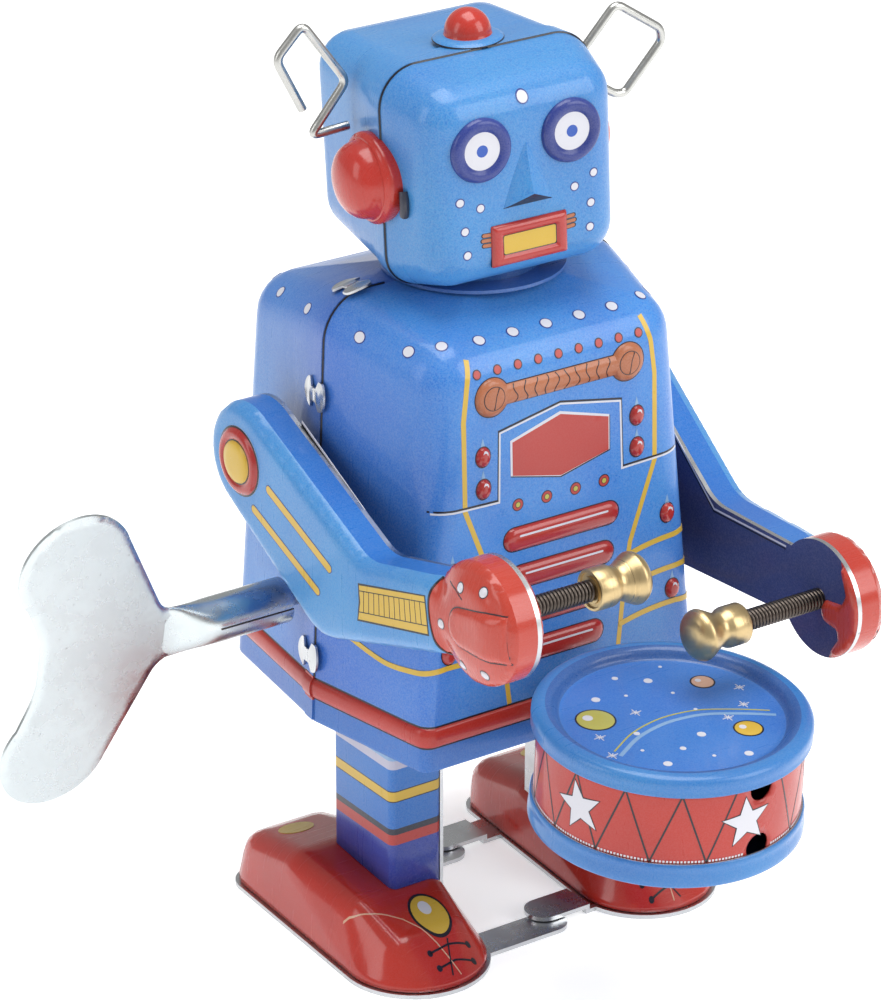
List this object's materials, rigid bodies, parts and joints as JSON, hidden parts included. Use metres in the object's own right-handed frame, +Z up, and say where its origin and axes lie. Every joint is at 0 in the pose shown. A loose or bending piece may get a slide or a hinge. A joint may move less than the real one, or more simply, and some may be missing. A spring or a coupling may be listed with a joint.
{
  "type": "wind-up tin robot drummer",
  "caption": "Wind-up tin robot in printed shells, with a side key, stick arms over a drum held in front, and sliding feet on steel plates.",
  "frame": {"origin": "on the ground, under the middle of the whole toy's box, which takes in the key and the drum; the robot's own middle plane is X = 23.2 mm and the seam of its torso is Y = 23.8 mm", "axes": "+Z up, -Y the way the robot faces, so its right side with the key is -X"},
  "size_m": [0.1322, 0.1178, 0.1669],
  "materials": {
    "blue_tin": "gloss",
    "dark_tin": "satin",
    "red_tin": "gloss",
    "zinc_plate": "satin",
    "steel": "satin",
    "bright_wire": "polished",
    "brass": "polished",
    "spring_steel": "satin"
  },
  "bodies": {
    "torso": {"torso_front_shell": "blue_tin", "torso_back_shell": "blue_tin", "motor_plate_right": "steel", "motor_plate_left": "steel", "plate_pillars": "steel", "mainspring": "spring_steel", "leg_guide_rivets": "steel", "drum_bracket": "zinc_plate", "drum_shell": "red_tin", "drum_lid": "blue_tin", "drum_base": "blue_tin"},
    "head": {"head_front_shell": "blue_tin", "head_back_shell": "blue_tin", "head_lamp": "red_tin", "ear_cap_right": "red_tin", "ear_cap_left": "red_tin", "antenna_right": "bright_wire", "antenna_left": "bright_wire", "neck_collar": "blue_tin"},
    "winding": {"winding_arbor": "steel", "ratchet_wheel": "steel", "winding_key": "zinc_plate"},
    "drive": {"great_wheel": "brass", "ratchet_click": "steel"},
    "crank": {"crank_arbor": "steel", "crank_wheel": "brass", "crank_disc_right": "steel", "crank_disc_left": "steel"},
    "third": {"third_arbor": "steel", "third_wheel": "brass"},
    "escape": {"escape_arbor": "steel", "escape_wheel": "brass"},
    "pallet": {"escape_pallet": "steel"},
    "right_arm": {"arm_shaft_right": "steel", "arm_lever_right": "steel", "arm_shell_right": "blue_tin", "arm_plate_right": "dark_tin", "stick_spring_right": "spring_steel", "stick_knob_right": "brass"},
    "left_arm": {"arm_shaft_left": "steel", "arm_lever_left": "steel", "arm_shell_left": "blue_tin", "arm_plate_left": "dark_tin", "stick_spring_left": "spring_steel", "stick_knob_left": "brass"},
    "right_leg": {"leg_frame_right": "steel", "leg_sleeve_right": "blue_tin", "shoe_right": "red_tin"},
    "left_leg": {"leg_frame_left": "steel", "leg_sleeve_left": "blue_tin", "shoe_left": "red_tin"}
  },
  "joints": [
    {"name": "head_turn", "type": "hinge", "parent": "torso", "child": "head", "pos_m": [0.0232, 0.0238, 0.1203], "axis": [0, 0, 1], "range_deg": [-25, 25]},
    {"name": "key_turn", "type": "hinge", "parent": "torso", "child": "winding", "pos_m": [0.0232, 0.03096, 0.063], "axis": [1, 0, 0], "continuous": true},
    {"name": "crank_turn", "type": "hinge", "parent": "torso", "child": "crank", "pos_m": [0.0232, 0.0168, 0.07851], "axis": [1, 0, 0], "continuous": true},
    {"name": "drive_turn", "type": "hinge", "parent": "torso", "child": "drive", "pos_m": [0.0232, 0.03096, 0.063], "axis": [1, 0, 0], "continuous": true},
    {"name": "third_turn", "type": "hinge", "parent": "torso", "child": "third", "pos_m": [0.0232, 0.0268, 0.08601], "axis": [1, 0, 0], "continuous": true},
    {"name": "escape_turn", "type": "hinge", "parent": "torso", "child": "escape", "pos_m": [0.0232, 0.0188, 0.09391], "axis": [1, 0, 0], "continuous": true},
    {"name": "pallet_rock", "type": "hinge", "parent": "torso", "child": "pallet", "pos_m": [0.0232, 0.0188, 0.1055], "axis": [1, 0, 0], "range_deg": [-6, 6]},
    {"name": "right_arm_swing", "type": "hinge", "parent": "torso", "child": "right_arm", "pos_m": [-0.0108, 0.0336, 0.0898], "axis": [1, 0, 0], "range_deg": [-5, 18.5]},
    {"name": "left_arm_swing", "type": "hinge", "parent": "torso", "child": "left_arm", "pos_m": [0.0572, 0.0336, 0.0898], "axis": [1, 0, 0], "range_deg": [-18.5, 5]},
    {"name": "right_leg_step", "type": "slide", "parent": "torso", "child": "right_leg", "axis": [0, 1, 0], "range_m": [-0.0042, 0.0042]},
    {"name": "left_leg_step", "type": "slide", "parent": "torso", "child": "left_leg", "axis": [0, 1, 0], "range_m": [-0.0042, 0.0042]}
  ],
  "couplings": [
    {"joint": "drive_turn", "follows": "crank_turn", "ratio": -0.25},
    {"joint": "third_turn", "follows": "crank_turn", "ratio": -4},
    {"joint": "escape_turn", "follows": "crank_turn", "ratio": 16},
    {"joint": "left_arm_swing", "follows": "right_arm_swing", "ratio": -1},
    {"joint": "left_leg_step", "follows": "right_leg_step", "ratio": -1}
  ]
}
